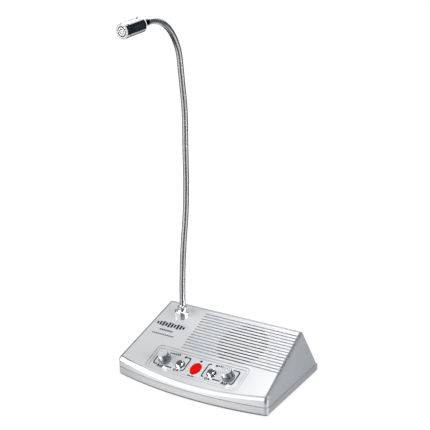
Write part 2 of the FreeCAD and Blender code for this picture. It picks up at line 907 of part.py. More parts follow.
def switch(x, s):
    half = switch_side / 2
    upper = half - switch_step
    body = block(x - half, x + half, s - half, s + half, board_top, switch_top() - switch_step)
    top = block(x - upper, x + upper, s - upper, s + upper, board_top + join, switch_top())
    return on_panel(joined(body, top).cut(switch_bore(x, s)))


def button_stem(x, s):
    return rod(stem_radius, switch_top() - stem_in_switch, cap_low() + join, x, s)


def talk_button(side):
    x = side * button_x
    cap = rod(button_radius, cap_low(), recess_floor + button_height, x, button_s)
    top = [edge for edge in cap.Edges if edge.BoundBox.ZMin > recess_floor + button_height - 0.01]
    return on_panel(joined(cap.makeFillet(button_edge, top), button_stem(x, button_s)))


def button_ring(side):
    x = side * button_x
    inner, outer = button_radius + running_gap, button_sleeve()
    brim = outer + button_flange
    rim = recess_floor + flange_height
    low = cap_low() + button_edge
    profile = [(inner, rim - flange_edge), (inner, low), (outer, low), (outer, recess_floor),
               (brim, recess_floor), (brim, rim - flange_edge), (brim - flange_edge, rim),
               (inner + flange_edge, rim)]
    return on_panel(turned(profile, x, button_s))


def power_button():
    top = recess_floor + power_height
    cap = oval(power_half_width, power_half_length, cap_low(), top, 0, power_s)
    rim = [edge for edge in cap.Edges if edge.BoundBox.ZMin > top - 0.01]
    return on_panel(joined(cap.makeFillet(power_edge, rim), button_stem(0, power_s)))


def power_bezel():
    low, rim = cap_low() + button_edge, recess_floor + power_bezel_height
    wide, long = power_half_width + running_gap, power_half_length + running_gap
    edge = power_bezel_wall
    flange = edge + power_bezel_flange
    body = joined(oval(wide + edge, long + edge, low, rim, 0, power_s),
                  oval(wide + flange, long + flange, recess_floor, rim, 0, power_s))
    return on_panel(body.cut(oval(wide, long, low - 1, rim + 1, 0, power_s)))


# --- rear sockets ---
def socket_places():
    """Across the rear face, with each thread's radius: supply inlet, then the two sockets."""
    first = socket_from_side - rear_half_width
    radii = (inlet_thread_radius, socket_thread_radius, socket_thread_radius)
    return [(first + place * socket_pitch, radius) for place, radius in enumerate(radii)]


def rear_socket(place):
    """A 3.5 mm plug's socket: threaded nose through the rear face, round body inside."""
    x, radius = socket_places()[place]
    nose = rod(radius, -wall - join, socket_proud, x, socket_row_t)
    body = rod(socket_body_radius, -wall - socket_body_length, -wall, x, socket_row_t)
    bore = rod(plug_bore_radius, socket_proud - plug_bore_length, socket_proud + 1, x, socket_row_t)
    return on_rear(joined(nose, body).cut(bore))


def dc_inlet():
    x, radius = socket_places()[0]
    nose = rod(radius, -wall - join, socket_proud, x, socket_row_t)
    body = rod(radius + inlet_wall, -wall - socket_body_length, -wall, x, socket_row_t)
    bottom = socket_proud - inlet_bore_length
    bore = rod(inlet_bore_radius, bottom, socket_proud + 1, x, socket_row_t)
    pin = rod(inlet_pin_radius, bottom - join, socket_proud - inlet_pin_setback, x, socket_row_t)
    return on_rear(joined(joined(nose, body).cut(bore), pin))


def hexagon(radius, low, high, x, y):
    corners = []
    for turn in range(6):
        angle = math.radians(60 * turn)
        corners.append(V(x + radius * math.cos(angle), y + radius * math.sin(angle), low))
    return Part.Face(Part.makePolygon(corners + corners[:1])).extrude(V(0, 0, high - low))


def socket_nuts():
    nuts = []
    for x, radius in socket_places():
        nut = hexagon(radius + nut_wall, 0, socket_nut_height, x, socket_row_t)
        nuts.append(nut.cut(rod(radius + thread_gap, -1, clear, x, socket_row_t)))
    return on_rear(Part.makeCompound(nuts))


# --- neck mount ---
def above_panel():
    """Everything above the panel's plane near the neck."""
    reach = 4 * collar_radius
    return on_panel(block(neck_x - reach, neck_x + reach, 0, panel_length + reach, 0, 2 * reach))


def neck_collar():
    body = rod(collar_radius, neck_panel_z - 2 * collar_radius, collar_top, neck_x, neck_y)
    top = [edge for edge in body.Edges if edge.BoundBox.ZMin > collar_top - 0.01]
    body = body.makeFillet(collar_edge, top).common(above_panel())
    return body.cut(rod(stem_thread_radius + thread_gap, 0, collar_top + 1, neck_x, neck_y))


def neck_gland():
    body = sleeve(gland_radius, neck_radius + thread_gap, collar_top, gland_top, neck_x, neck_y)
    top = [edge for edge in body.Edges if edge.BoundBox.ZMin > gland_top - 0.01
           and edge.BoundBox.XLength > 2 * gland_radius - 0.1]
    return body.makeChamfer(gland_edge, top)


def neck_stem():
    low = neck_panel_z - neck_seat_depth - stem_below
    return sleeve(stem_thread_radius, neck_radius + thread_gap, low, collar_top, neck_x, neck_y)


def neck_washer():
    high = neck_panel_z - neck_seat_depth
    return sleeve(washer_radius, stem_thread_radius + washer_gap, high - washer_thickness, high,
                  neck_x, neck_y)


def neck_nut():
    high = neck_panel_z - neck_seat_depth - washer_thickness
    nut = hexagon(neck_nut_radius, high - neck_nut_height, high, neck_x, neck_y)
    return nut.cut(rod(stem_thread_radius + thread_gap, 0, high + 1, neck_x, neck_y))


# --- gooseneck ---
def swung(shape):
    """The neck is laid out in the plane of Y and Z, then turned about its root."""
    result = shape.copy()
    result.rotate(V(neck_x, neck_y, 0), V(0, 0, 1), -neck_swing_angle)
    return result


def heading(angle):
    """Direction of the neck where it leans forwards by angle, in degrees."""
    lean = math.radians(angle)
    return V(0, -math.sin(lean), math.cos(lean))


def link_ends():
    """Joint centres and headings along the neck, from the root to the head."""
    ends = [(V(neck_x, neck_y, first_joint_z), 0.0)]
    for bend in link_bend_angles:
        start, lean = ends[-1]
        turn = math.radians(bend)
        chord = link_length * math.sin(turn / 2) / (turn / 2)
        ends.append((start + heading(lean + bend / 2) * chord, lean + bend))
    return ends


def curved_tube(start, lean, bend, skip):
    """A tube on a circular arc, from skip past start to the link's end."""
    radius = link_length / math.radians(bend)
    forward = V(0, -math.cos(math.radians(lean)), -math.sin(math.radians(lean)))
    centre = start + forward * radius
    skipped = bend * skip / link_length
    axis = V(1, 0, 0)
    profile = Part.Face([Part.Wire(Part.Circle(start, heading(lean), neck_radius).toShape()),
                         Part.Wire(Part.Circle(start, heading(lean), neck_bore).toShape())])
    profile.validate()
    profile.rotate(centre, axis, skipped)
    return profile.revolve(centre, axis, bend - skipped)


def domed_end(centre, lean):
    """Half a ball on the tube's end, drilled for the wires."""
    ball = Part.makeSphere(neck_radius, centre, heading(lean), 0, 90, 360)
    drill = Part.makeCylinder(neck_bore, 3 * neck_radius, centre - heading(lean) * neck_radius,
                              heading(lean))
    return ball.cut(drill)


def neck_root():
    low = collar_top - root_in_stem
    centre, lean = link_ends()[0]
    tube = sleeve(neck_radius, neck_bore, low, centre.z, neck_x, neck_y)
    return swung(joined(tube, domed_end(centre, lean)))


def neck_link(index):
    ends = link_ends()
    start, lean = ends[index]
    end, end_lean = ends[index + 1]
    body = curved_tube(start, lean, link_bend_angles[index], socket_lip)
    if index + 1 < len(link_bend_angles):
        body = joined(body, domed_end(end, end_lean))
    cup = Part.makeSphere(neck_radius + ball_gap, start)
    return swung(body.cut(cup))


# --- microphone head ---
def on_head(shape):
    """From head axes (Z from the neck's end to the face) to the console's."""
    tip, lean = link_ends()[-1]
    place = FreeCAD.Placement(tip, FreeCAD.Rotation(V(1, 0, 0), lean))
    return swung(moved(shape, place.toMatrix()))


def body_low():
    return ferrule_length + rear_cap_length


def body_high():
    return body_low() + mic_body_length


def head_length():
    return body_high() + front_cap_length


def neck_ferrule():
    body = sleeve(ferrule_radius, neck_bore, 0, ferrule_length)
    ends = [edge for edge in body.Edges if edge.BoundBox.XLength > 2 * ferrule_radius - 0.1
            and edge.BoundBox.ZMax < 0.01]
    return on_head(body.makeChamfer(ferrule_edge, ends))


def mic_rear_cap():
    low, high = ferrule_length, body_low()
    spigot = mic_radius - mic_wall - seat_gap
    top = high + rear_cap_spigot
    small = rear_cap_small_radius
    profile = [(neck_bore, low), (small - rear_cap_edge, low), (small, low + rear_cap_edge),
               (mic_radius, high - rear_cap_land), (mic_radius, high), (spigot, high), (spigot, top),
               (neck_bore, top)]
    return on_head(turned(profile))


def mic_body():
    low, high = body_low(), body_high()
    inner = mic_radius - mic_wall
    groove = mic_radius - cap_groove_depth
    profile = [(inner, low), (mic_radius, low), (mic_radius, high - cap_groove_width),
               (groove, high - cap_groove_width), (groove, high), (inner, high)]
    shell = turned(profile)
    slots = []
    for row in range(vent_rows):
        z = low + vent_first + row * vent_pitch
        for column in range(vent_columns):
            middle = 360 * (column + 1) / vent_columns
            slots.append(arc_slot(mic_radius, 3 * mic_wall, vent_angle, middle,
                                  z - vent_width / 2, z + vent_width / 2))
    return on_head(shell.cut(slots))


def foam_face():
    return head_length() - front_cap_face


def mic_liner():
    low, high = body_low() + rear_cap_spigot + hole_gap, foam_face()
    outer = mic_radius - mic_wall - seat_gap
    inner = outer - liner_thickness
    front = high - liner_thickness
    profile = [(inner, low), (outer, low), (outer, high), (0, high), (0, front), (inner, front)]
    return on_head(turned(profile))


def capsule_low():
    return foam_face() - liner_thickness - capsule_setback - capsule_length


def mic_capsule():
    return on_head(rod(capsule_radius, capsule_low(), capsule_low() + capsule_length))


def capsule_holder():
    outer = mic_radius - mic_wall - seat_gap - liner_thickness - screw_gap
    inner = capsule_radius + thread_gap
    high = capsule_low() + capsule_length
    profile = [(neck_bore, high - holder_length), (outer, high - holder_length), (outer, high),
               (inner, high), (inner, capsule_low()), (neck_bore, capsule_low())]
    return on_head(turned(profile))


def ring_of_slots(count, first, radius, width, angle):
    """Curved slots through the front cap's face, evenly spaced round its axis."""
    low = foam_face() - front_cap_face
    return [arc_slot(radius, width, angle, first + 360 * turn / count, low, head_length() + 1)
            for turn in range(count)]


def mic_front_cap():
    low, high = body_high(), head_length()
    inner = mic_radius - mic_wall
    edge, rear_edge = front_cap_edge, front_cap_rear_edge
    profile = [(inner, low), (front_cap_radius - rear_edge, low), (front_cap_radius, low + rear_edge),
               (front_cap_radius, high - edge), (front_cap_radius - edge, high), (0, high),
               (0, foam_face()), (inner, foam_face())]
    cuts = ring_of_slots(face_slots, 180 / face_slots, face_slot_radius, face_slot_width, face_slot_angle)
    cuts += ring_of_slots(inner_slots, 0, inner_slot_radius, inner_slot_width, inner_slot_angle)
    cuts.append(rod(face_hole_radius, foam_face() - 1, high + 1))
    return on_head(turned(profile).cut(cuts))


# --- the whole model ---
def pieces():
    made = {
        "top_housing": top_housing(),
        "base_tray": base_tray(),
        "case_screws": case_screws(),
        "rubber_feet": rubber_feet(),
        "control_board": control_board(),
        "control_board_screws": control_board_screws(),
        "main_board": main_board(),
        "main_board_screws": main_board_screws(),
        "capacitors": capacitors(),
        "heat_sink": heat_sink(),
        "dc_inlet": dc_inlet(),
        "outstation_socket": rear_socket(1),
        "record_socket": rear_socket(2),
        "socket_nuts": socket_nuts(),
        "speaker_screen": speaker_screen(),
        "speaker_gasket": speaker_gasket(),
        "speaker_frame": speaker_frame(),
        "speaker_cone": speaker_cone(),
        "speaker_magnet": speaker_magnet(),
        "speaker_clips": speaker_clips(),
        "speaker_screws": speaker_screws(),
        "status_leds": status_leds(),
        "power_switch": switch(0, power_s),
        "power_bezel": power_bezel(),
        "power_button": power_button(),
        "neck_collar": neck_collar(),
        "neck_gland": neck_gland(),
        "neck_stem": neck_stem(),
        "neck_washer": neck_washer(),
        "neck_nut": neck_nut(),
        "neck_root": neck_root(),
        "neck_ferrule": neck_ferrule(),
        "mic_rear_cap": mic_rear_cap(),
        "mic_body": mic_body(),
        "mic_liner": mic_liner(),
        "mic_capsule": mic_capsule(),
        "capsule_holder": capsule_holder(),
        "mic_front_cap": mic_front_cap(),
    }
    for name, side in (("left", -1), ("right", 1)):
        made["volume_pot_" + name] = pot(side)
        made["pot_shaft_" + name] = shaft(side)
        made["volume_knob_" + name] = knob(side)
        made["talk_switch_" + name] = switch(side * button_x, button_s)
        made["button_ring_" + name] = button_ring(side)
        made["talk_button_" + name] = talk_button(side)
    for index in range(len(link_bend_angles)):
        made["neck_link_" + str(index + 1)] = neck_link(index)
    return made


def model_shift():
    """Moves the console's layout so that the whole model's box is centred on the origin in Y."""
    tip, lean = link_ends()[-1]
    swing = math.radians(neck_swing_angle)
    face = tip + heading(lean) * head_length()
    reach = (neck_y - face.y) * math.cos(swing)
    edge = front_cap_radius - front_cap_edge
    tilt = abs(math.cos(math.radians(lean)))
    spread = edge * math.hypot(math.sin(swing), math.cos(swing) * tilt)
    front = min(neck_y - reach - spread, corner_setback - bow_seam)
    return V(0, -(front + rear_y) / 2, 0)


def export():
    os.makedirs("parts", exist_ok=True)
    shift = model_shift()
    for name, shape in pieces().items():
        shape.translate(shift)
        shape.exportStep("parts/" + name + ".step")
        print(name, len(shape.Solids), round(shape.Volume, 1), shape.isValid())


if __name__ == "__main__":
    export()
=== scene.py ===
import bpy
import json
import math
from mathutils import Matrix, Vector

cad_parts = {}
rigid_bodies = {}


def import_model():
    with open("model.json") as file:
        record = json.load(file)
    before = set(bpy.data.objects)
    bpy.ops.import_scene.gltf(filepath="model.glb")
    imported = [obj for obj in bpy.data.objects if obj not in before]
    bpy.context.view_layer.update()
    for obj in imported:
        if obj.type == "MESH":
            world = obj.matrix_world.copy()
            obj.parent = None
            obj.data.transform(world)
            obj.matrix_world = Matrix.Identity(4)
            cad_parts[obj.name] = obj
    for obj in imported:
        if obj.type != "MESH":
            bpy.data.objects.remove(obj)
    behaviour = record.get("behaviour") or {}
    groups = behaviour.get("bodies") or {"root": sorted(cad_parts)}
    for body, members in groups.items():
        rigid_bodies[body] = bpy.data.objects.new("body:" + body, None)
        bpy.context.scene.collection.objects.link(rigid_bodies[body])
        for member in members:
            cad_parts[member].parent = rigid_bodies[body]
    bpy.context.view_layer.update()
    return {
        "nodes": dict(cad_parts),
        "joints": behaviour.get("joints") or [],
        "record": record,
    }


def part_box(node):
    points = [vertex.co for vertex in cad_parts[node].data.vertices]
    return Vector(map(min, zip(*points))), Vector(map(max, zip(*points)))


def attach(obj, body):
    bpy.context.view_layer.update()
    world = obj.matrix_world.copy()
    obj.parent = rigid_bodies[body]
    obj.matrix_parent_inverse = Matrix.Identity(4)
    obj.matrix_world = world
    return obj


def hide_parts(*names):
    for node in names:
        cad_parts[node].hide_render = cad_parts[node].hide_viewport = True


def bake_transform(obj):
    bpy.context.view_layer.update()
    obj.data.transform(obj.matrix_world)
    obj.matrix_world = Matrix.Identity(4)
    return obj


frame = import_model()
mm = 0.001
print("frame loaded,", len(frame["nodes"]), "nodes")


# shader maths: a wire is one socket, and sums on it add Math nodes
class Wire:
    def __init__(self, graph, socket):
        self.graph, self.socket = graph, socket

    def calc(self, operation, first, second=0.0, third=0.0):
        return self.graph.node("ShaderNodeMath", {"operation": operation},
                               {0: first, 1: second, 2: third})

    def pick(self, name):
        return Wire(self.graph, self.socket.node.outputs[name])

    def __add__(self, other): return self.calc("ADD", self, other)
    def __radd__(self, other): return self.calc("ADD", other, self)
    def __sub__(self, other): return self.calc("SUBTRACT", self, other)
    def __rsub__(self, other): return self.calc("SUBTRACT", other, self)
    def __mul__(self, other): return self.calc("MULTIPLY", self, other)
    def __rmul__(self, other): return self.calc("MULTIPLY", other, self)
    def __truediv__(self, other): return self.calc("DIVIDE", self, other)
    def __abs__(self): return self.calc("ABSOLUTE", self)
    def least(self, other): return self.calc("MINIMUM", self, other)
    def most(self, other): return self.calc("MAXIMUM", self, other)
    def sine(self): return self.calc("SINE", self)
    def root(self): return self.calc("SQRT", self)
    def wrap(self, low, high): return self.calc("WRAP", self, high, low)

    def ramp(self, low, high):     # 0 below low, 1 above high, smooth between
        return self.graph.node("ShaderNodeMapRange", {"interpolation_type": "SMOOTHSTEP"},
                               {"Value": self, "From Min": low, "From Max": high})

    def drop(self, low, high):     # the other way: 1 below low, 0 above high
        return 1.0 - self.ramp(low, high)

    def band(self, low, high, soft):     # 1 from low to high, 0 outside
        return self.ramp(low - soft, low + soft) * self.drop(high - soft, high + soft)


class Graph:
    def __init__(self, tree):
        self.tree = tree

    def node(self, kind, settings=None, inputs=None, output=0):
        made = self.tree.nodes.new(kind)
        for name, value in (settings or {}).items():
            setattr(made, name, value)
        for name, value in (inputs or {}).items():
            if isinstance(value, Wire):
                self.tree.links.new(value.socket, made.inputs[name])
            else:
                made.inputs[name].default_value = value
        return Wire(self, made.outputs[output])

    def mix(self, amount, first, second):     # colours
        return self.node("ShaderNodeMix", {"data_type": "RGBA"},
                         {0: amount, 6: first, 7: second}, 2)

    def noise(self, place, scale, detail=2.0, roughness=0.5):
        return self.node("ShaderNodeTexNoise", {}, {"Vector": place, "Scale": scale,
                                                    "Detail": detail, "Roughness": roughness})

    def vector(self, operation, first, second=(0, 0, 0)):
        return self.node("ShaderNodeVectorMath", {"operation": operation},
                         {0: first, 1: list(second)})

    def findNode(self, kind):
        return next(node for node in self.tree.nodes if node.type == kind)


class Finish(Graph):
    # a material with one Principled shader
    def __init__(self, name, **fixed):
        self.material = bpy.data.materials.new(name)
        self.material.use_nodes = True
        super().__init__(self.material.node_tree)
        self.shader = self.findNode("BSDF_PRINCIPLED")
        for socket, value in fixed.items():
            self.shader.inputs[socket.replace("_", " ")].default_value = value
        self.place = self.node("ShaderNodeTexCoord").pick("Object")

    def along(self, origin, axis):
        # how far the surface lies along an axis through a point
        away = self.vector("SUBTRACT", self.place, origin)
        return self.vector("DOT_PRODUCT", away, axis).pick("Value")

    def around(self, origin, axis):
        # how far the surface lies along an axis, and how far from it
        away = self.vector("SUBTRACT", self.place, origin)
        full, along = self.vector("LENGTH", away).pick("Value"), self.along(origin, axis)
        return along, (full * full - along * along).most(0.0).root()

    def facing(self, normal, axis):
        # 1 where the surface faces along the axis
        geometry = self.node("ShaderNodeNewGeometry")
        return self.vector("DOT_PRODUCT", geometry.pick(normal), axis).pick("Value")

    def drive(self, socket, value):
        self.tree.links.new(value.socket, self.shader.inputs[socket])

    def bump(self, height, distance, strength):
        relief = {"Height": height, "Distance": distance, "Strength": strength}
        self.drive("Normal", self.node("ShaderNodeBump", {}, relief))


def scaled(colour, amount):
    return [c * amount for c in colour[:3]] + [1]


# modelling helpers
def choose(piece):
    # selects one piece and nothing else
    bpy.ops.object.select_all(action="DESELECT")
    piece.select_set(True)
    bpy.context.view_layer.objects.active = piece


def clean(operator, **values):
    # adds a primitive with nothing else selected
    bpy.ops.object.select_all(action="DESELECT")
    operator(**values)
    return bpy.context.object


def done():
    bpy.ops.object.mode_set(mode="OBJECT")


def edit(piece, kind="FACE", test=None):
    # goes into edit mode with the parts that pass the test selected, or everything
    choose(piece)
    bpy.ops.object.mode_set(mode="EDIT")
    bpy.ops.mesh.select_mode(type=kind)
    bpy.ops.mesh.select_all(action="DESELECT" if test else "SELECT")
    if test:
        done()
        for part in {"FACE": piece.data.polygons, "VERT": piece.data.vertices}[kind]:
            part.select = test(part)
        bpy.ops.object.mode_set(mode="EDIT")


def modify(piece, kind, **settings):
    choose(piece)
    modifier = piece.modifiers.new(kind.lower(), kind)
    for name, value in settings.items():
        setattr(modifier, name, value)
    bpy.ops.object.modifier_apply(modifier=modifier.name)


def settle(piece, place=Matrix.Identity(4)):
    # puts the piece's place into its mesh
    piece.data.transform(place @ piece.matrix_basis)
    piece.matrix_basis = Matrix.Identity(4)


def copyOf(piece, name):
    twin = piece.copy()
    twin.data = piece.data.copy()
    twin.name = name
    bpy.context.scene.collection.objects.link(twin)
    return twin


def dress(piece, finish):
    piece.data.materials.clear()
    piece.data.materials.append(finish.material)


# the panel's own axes, from the knobs' joints; the console's middle is at x = 0
joints = {joint["name"]: joint for joint in frame["joints"]}
leftKnob = Vector(joints["volume_turn_left"]["pos_m"])
rightKnob = Vector(joints["volume_turn_right"]["pos_m"])
panelOut = Vector(joints["volume_turn_left"]["axis"]).normalized()
panelAcross = Vector((1, 0, 0))
panelUp = panelOut.cross(panelAcross)
origin, upright = (0, 0, 0), (0, 0, 1)


def panelPlace(out):
    # origin midway between the knobs, x across the panel, y up its slope, z out of its face
    place = Matrix((panelAcross, panelUp, panelOut)).transposed().to_4x4()
    place.translation = (leftKnob + rightKnob) / 2 + panelOut * out * mm
    return place


# in these a pair is where a ramp starts and ends, and a three is a band and its softness
paint = {
    "shell": (0.68, 0.685, 0.695, 1), "tray": (0.63, 0.635, 0.64, 1),
    "shadow": (0.07, 0.08, 0.095, 1), "light": 1.05, "dark": 0.94,
    "roughness": 0.32, "metallic": 0.55, "gloss": 1.5,
    "grain": 2600, "grainRamp": (0.25, 0.75), "cloud": 18, "peel": 700,
    "bump": 0.03 * mm, "bumpStrength": 0.35}
seamAndFootShade = {     # painted shade in the seam between tray and housing and along the tray's foot, by height
    "seam": (11.45 * mm, 12.15 * mm, 0.2 * mm), "seamDepth": 0.55,
    "foot": (2.2 * mm, 4.6 * mm), "footDepth": 0.85}
grooveShade = {     # painted shade in the grooves, on their walls and inside the slots: by distance out of the panel's face, and where they start up the slope
    "top": (-1.1 * mm, -0.4 * mm), "floor": (-2.2 * mm, -1.6 * mm), "start": (18 * mm, 19 * mm),
    "depth": 0.4, "wall": (-0.75 * mm, -0.12 * mm, 0.1 * mm), "wallFacing": (0.80, 0.97),
    "wallDepth": 0.7, "slotTop": (-0.5 * mm, -0.1 * mm), "slotFloor": (-5 * mm, -4 * mm),
    "slotEnd": (0.2 * mm, 0.6 * mm)}
rimShade = {     # painted shade lines where the flat panel ends: tapering sides, bowed front edge and ridge
    "taper": 0.0945, "side": 93.7 * mm, "sideLine": (-2.4 * mm, -1.4 * mm),
    "glint": (0.4, 0.75, 0.1), "glintFade": 0.5, "roundEnd": (0.25, 0.4),
    "bow": 1.36, "front": 23.5 * mm,
    "frontLine": (-0.6 * mm, 0.5 * mm, 0.15 * mm), "frontDepth": 0.6,
    "leftLine": (-1.0 * mm, 1.3 * mm, 0.3 * mm), "leftEnd": (-85 * mm, -40 * mm),
    "ridgeLine": (79.2 * mm, 79.8 * mm), "ridgeDepth": 0.6,
    "floor": (-6 * mm, -5 * mm), "depth": 0.8}
recess = {     # painted shade lines along its two steps, which follow a rounded rectangle
    "half": 59.5 * mm, "low": -15.5 * mm, "high": 17 * mm, "corner": 5 * mm, "border": 3.2 * mm,
    "line": (0.35 * mm, 0.7 * mm), "floor": (-1.6 * mm, -1.3 * mm), "top": (0.2 * mm, 0.3 * mm),
    "depth": 0.33}
screenLow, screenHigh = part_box("speaker_screen")
speakerMiddle = (screenLow + screenHigh) / 2
speakerRadius = (screenHigh.x - screenLow.x) / 2


# silver paint with grain and cloud, and painted shade in its seam, foot, grooves, slots, edges and
# recess steps
def satinPaint(name, colour):
    finish = Finish(name, Metallic=paint["metallic"], IOR=paint["gloss"])
    speck = finish.noise(finish.place, paint["grain"], 3).ramp(*paint["grainRamp"])
    cloud = finish.noise(finish.place, paint["cloud"], 2)
    x, up = finish.along(origin, panelAcross), finish.along(origin, upright)
    out, slope = finish.along(leftKnob, panelOut), finish.along(leftKnob, panelUp)
    facing = finish.facing("Normal", panelOut)

    # painted shade on the grooves' floors and on their walls
    troughShade = out.drop(*grooveShade["top"]) * out.ramp(*grooveShade["floor"]) * slope.ramp(*grooveShade["start"])
    wall = out.band(*grooveShade["wall"]) * facing.drop(*grooveShade["wallFacing"])

    # painted shade lines along the panel's edges; the side line is lifted where its rounding
    # catches a glint
    past = abs(x) + slope * rimShade["taper"] - rimShade["side"]
    glint = 1.0 - facing.band(*rimShade["glint"]) * rimShade["glintFade"]
    sides = past.ramp(*rimShade["sideLine"]) * glint * facing.ramp(*rimShade["roundEnd"])
    ahead = x * x * rimShade["bow"] - rimShade["front"] - slope
    brow = ahead.band(*rimShade["frontLine"]) * rimShade["frontDepth"]
    leftBrow = ahead.band(*rimShade["leftLine"]) * x.drop(*rimShade["leftEnd"])
    crest = slope.ramp(*rimShade["ridgeLine"]) * rimShade["ridgeDepth"]
    rim = sides.most(brow).most(leftBrow).most(crest) * out.ramp(*rimShade["floor"])

    # distance from the recess's outline, below 0 inside it
    across = abs(x) - (recess["half"] - recess["corner"])
    middle, reach = (recess["low"] + recess["high"]) / 2, (recess["high"] - recess["low"]) / 2
    along = abs(slope - middle) - (reach - recess["corner"])
    corner = (across.most(0.0) * across.most(0.0) + along.most(0.0) * along.most(0.0)).root()
    gap = corner + across.most(along).least(0.0) - recess["corner"]
    # painted shade lines along both steps of the recess
    stepShade = abs(gap).drop(*recess["line"]).most(abs(gap + recess["border"]).drop(*recess["line"]))
    stepShade = stepShade * out.ramp(*recess["floor"]) * out.drop(*recess["top"])

    # inside the slots over the loudspeaker the walls are painted dark: partly the unpainted
    # moulding, partly painted shade
    centre = finish.along(speakerMiddle, panelUp)
    beside = finish.along(speakerMiddle, panelAcross)
    slotStart, slotStop = [speakerRadius + more for more in grooveShade["slotEnd"]]
    slotShade = out.drop(*grooveShade["slotTop"]) * out.ramp(*grooveShade["slotFloor"])
    depth = slotShade * (centre * centre + beside * beside).root().drop(slotStart, slotStop)
    # the painted shade is gathered in depth and mixed towards the shadow colour
    for mask, amount in ((up.band(*seamAndFootShade["seam"]), seamAndFootShade["seamDepth"]),
                         (up.drop(*seamAndFootShade["foot"]), seamAndFootShade["footDepth"]),
                         (troughShade, grooveShade["depth"]), (wall, grooveShade["wallDepth"]),
                         (rim, rimShade["depth"]), (stepShade, recess["depth"])):
        depth = depth.most(mask * amount)
    base = finish.mix(speck * 0.55 + cloud * 0.45, scaled(colour, paint["dark"]),
                      scaled(colour, paint["light"]))
    finish.drive("Base Color", finish.mix(depth, base, paint["shadow"]))
    finish.drive("Roughness", paint["roughness"] + speck * 0.05 + cloud * 0.06)
    peel = finish.noise(finish.place, paint["peel"], 2)
    finish.bump(peel * 0.7 + speck * 0.3, paint["bump"], paint["bumpStrength"])
    return finish


metal = {"gloss": 2.2, "grain": 1400, "tintGrain": 1400 / 12, "tintRamp": (0.35, 0.7), "tint": 0.9,
         "hazeRamp": (0.4, 0.8), "bump": 0.008 * mm, "bumpStrength": 0.3, "valleyRamp": (0.3, 0.9)}


def polishedMetal(name, colour, roughness, scratch=0.05, metallic=1.0, valley=None):
    # valley adds painted shade in the gaps between coils, where the mesh's own attribute marks them
    finish = Finish(name, Metallic=metallic, IOR=metal["gloss"])
    haze = finish.noise(finish.place, metal["grain"], 4, 0.6)
    tint = finish.noise(finish.place, metal["tintGrain"], 2)
    skin = finish.mix(tint.ramp(*metal["tintRamp"]), colour, scaled(colour, metal["tint"]))
    if valley:
        gap = finish.node("ShaderNodeAttribute", {"attribute_name": "valley"}).pick("Fac")
        skin = finish.mix(gap.ramp(*metal["valleyRamp"]), skin, scaled(colour, valley))
    finish.drive("Base Color", skin)
    finish.drive("Roughness", roughness + haze.ramp(*metal["hazeRamp"]) * scratch)
    finish.bump(haze, metal["bump"], metal["bumpStrength"])
    return finish


plastic = {"grain": 1500, "wider": 30, "light": 1.18, "lift": 0.002,
           "bump": 0.02 * mm, "bumpStrength": 0.4}


def plainPlastic(name, colour, roughness, grain=plastic["grain"], depth=plastic["bump"], **fixed):
    finish = Finish(name, **fixed)
    fine = finish.noise(finish.place, grain, 3)
    wide = finish.noise(finish.place, grain / plastic["wider"], 2)
    light = [c * plastic["light"] + plastic["lift"] for c in colour[:3]] + [1]
    finish.drive("Base Color", finish.mix(fine * 0.5 + wide * 0.4, colour, light))
    finish.drive("Roughness", roughness + fine * 0.08)
    finish.bump(fine, depth, plastic["bumpStrength"])
    return finish


cloth = {"colour": (0.016, 0.021, 0.026, 1), "shade": 0.45, "pitch": 0.6 * mm, "sheen": 0.2,
         "ramp": (0.2, 0.9), "roughness": 0.95, "bump": 0.12 * mm, "bumpStrength": 0.8}


def wovenCloth(name):
    # plain weave of round threads over and under
    finish = Finish(name, Sheen_Weight=cloth["sheen"])
    spot = finish.node("ShaderNodeMapping", {}, {"Vector": finish.place,
                                                 "Scale": [1 / cloth["pitch"]] * 3})
    axes = finish.node("ShaderNodeSeparateXYZ", {}, {0: spot})
    warp = (axes.pick("X") * math.pi).sine()
    weft = (axes.pick("Y") * math.pi).sine()
    weave = abs(warp) * 0.5 + abs(weft) * 0.5
    shade = scaled(cloth["colour"], cloth["shade"])
    finish.drive("Base Color", finish.mix(weave.ramp(*cloth["ramp"]), shade, cloth["colour"]))
    finish.drive("Roughness", cloth["roughness"] - weave * 0.15)
    finish.bump(weave, cloth["bump"], cloth["bumpStrength"])
    return finish


knobLook = {
    "colour": (0.72, 0.735, 0.755, 1), "gloss": 2.2, "roughness": 0.22, "grain": 1500,
    "top": (9.8 * mm, 10.1 * mm), "topPale": 0.78, "topShade": 0.62, "rings": (-0.6, 0.6),
    "ringPitch": 0.45 * mm, "rim": (5.3 * mm, 5.6 * mm),
    "dips": ((3.9 * mm, 4.6 * mm, 0.15 * mm), (1.7 * mm, 2.4 * mm, 0.15 * mm)),
    "dipShadeColour": (0.14, 0.16, 0.18, 1), "dipDepth": 0.9,
    "flankAcross": 0.94, "flankUp": -0.34, "flank": (0.55, 0.85), "back": (0.82, 0.97),
    "backDepth": 0.7, "foot": (1.9 * mm, 3.3 * mm, 0.2 * mm), "footDepth": 0.9,
    "dark": 0.75, "flankShadeColour": (0.03, 0.05, 0.07, 1),
    "skirt": (2.3 * mm, 2.5 * mm), "skirtDepth": 0.9, "skirtColour": (0.07, 0.09, 0.11, 1),
    "dull": 0.85, "dullRoughness": 0.28, "bump": 0.03 * mm, "bumpStrength": 0.5}


